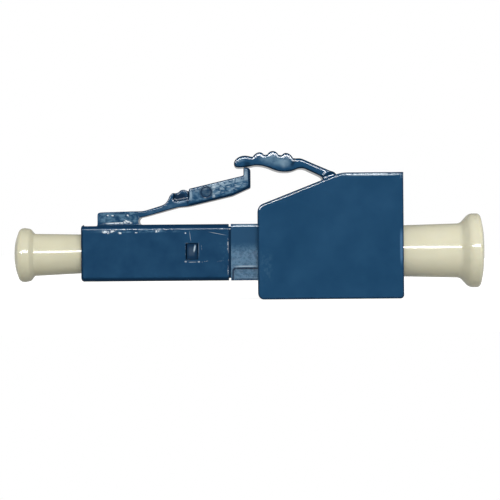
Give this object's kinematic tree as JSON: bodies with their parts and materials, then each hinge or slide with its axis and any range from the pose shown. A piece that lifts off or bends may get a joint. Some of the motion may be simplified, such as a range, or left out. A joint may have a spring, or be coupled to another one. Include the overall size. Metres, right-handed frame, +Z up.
{
  "type": "fixed fibre attenuator",
  "caption": "Fixed fibre-optic attenuator with a latched square plug, a thumb trigger over the latch, a matching port and a dust cap on each end.",
  "frame": {"origin": "on the light path, in the plane of the plug housing's front face", "axes": "+X along the light path from the plug to the port, +Z up towards the latch and trigger, +Y to the left when looking along +X"},
  "size_m": [0.0377, 0.006, 0.0119],
  "materials": {
    "blue_housing": "fine moulded texture, semi-matt, with bright worn edges",
    "blue_insert": "sandy matt spark-eroded mould texture",
    "zirconia": "polished",
    "fibre_glass": "polished end",
    "collar_metal": "nickel plated, turned",
    "spring_steel": "drawn wire",
    "holder_plastic": "satin moulded",
    "ivory_cap": "smooth, soft sheen"
  },
  "bodies": {
    "body": {"plug_housing": "blue_housing", "inner_body": "blue_insert", "rear_housing": "blue_housing", "coil_spring": "spring_steel", "split_sleeve": "zirconia", "sleeve_holder": "holder_plastic"},
    "latch": {"latch_arm": "blue_housing"},
    "trigger": {"trigger_arm": "blue_housing"},
    "ferrule_unit": {"ferrule": "zirconia", "doped_fibre": "fibre_glass", "ferrule_collar": "collar_metal"},
    "front_cap": {"front_dust_cap": "ivory_cap"},
    "rear_plug": {"rear_dust_plug": "ivory_cap"}
  },
  "joints": [
    {"name": "trigger_press", "type": "hinge", "parent": "body", "child": "trigger", "pos_m": [0.0194, 0, 0.00633], "axis": [0, -1, 0], "range_deg": [0, 17], "stiffness_Nm_per_rad": 0.004},
    {"name": "latch_press", "type": "hinge", "parent": "body", "child": "latch", "pos_m": [0.00485, 0, 0.00311], "axis": [0, 1, 0], "range_deg": [0, 12], "stiffness_Nm_per_rad": 0.004},
    {"name": "ferrule_float", "type": "slide", "parent": "body", "child": "ferrule_unit", "axis": [1, 0, 0], "range_m": [0, 0.0006], "stiffness_N_per_m": 500, "deforming": ["coil_spring"]},
    {"name": "front_cap_pull", "type": "slide", "parent": "body", "child": "front_cap", "axis": [-1, 0, 0], "range_m": [0, 0.008]},
    {"name": "rear_plug_pull", "type": "slide", "parent": "body", "child": "rear_plug", "axis": [1, 0, 0], "range_m": [0, 0.012]}
  ],
  "couplings": [
    {"joint": "latch_press", "follows": "trigger_press", "ratio": 0.7}
  ]
}
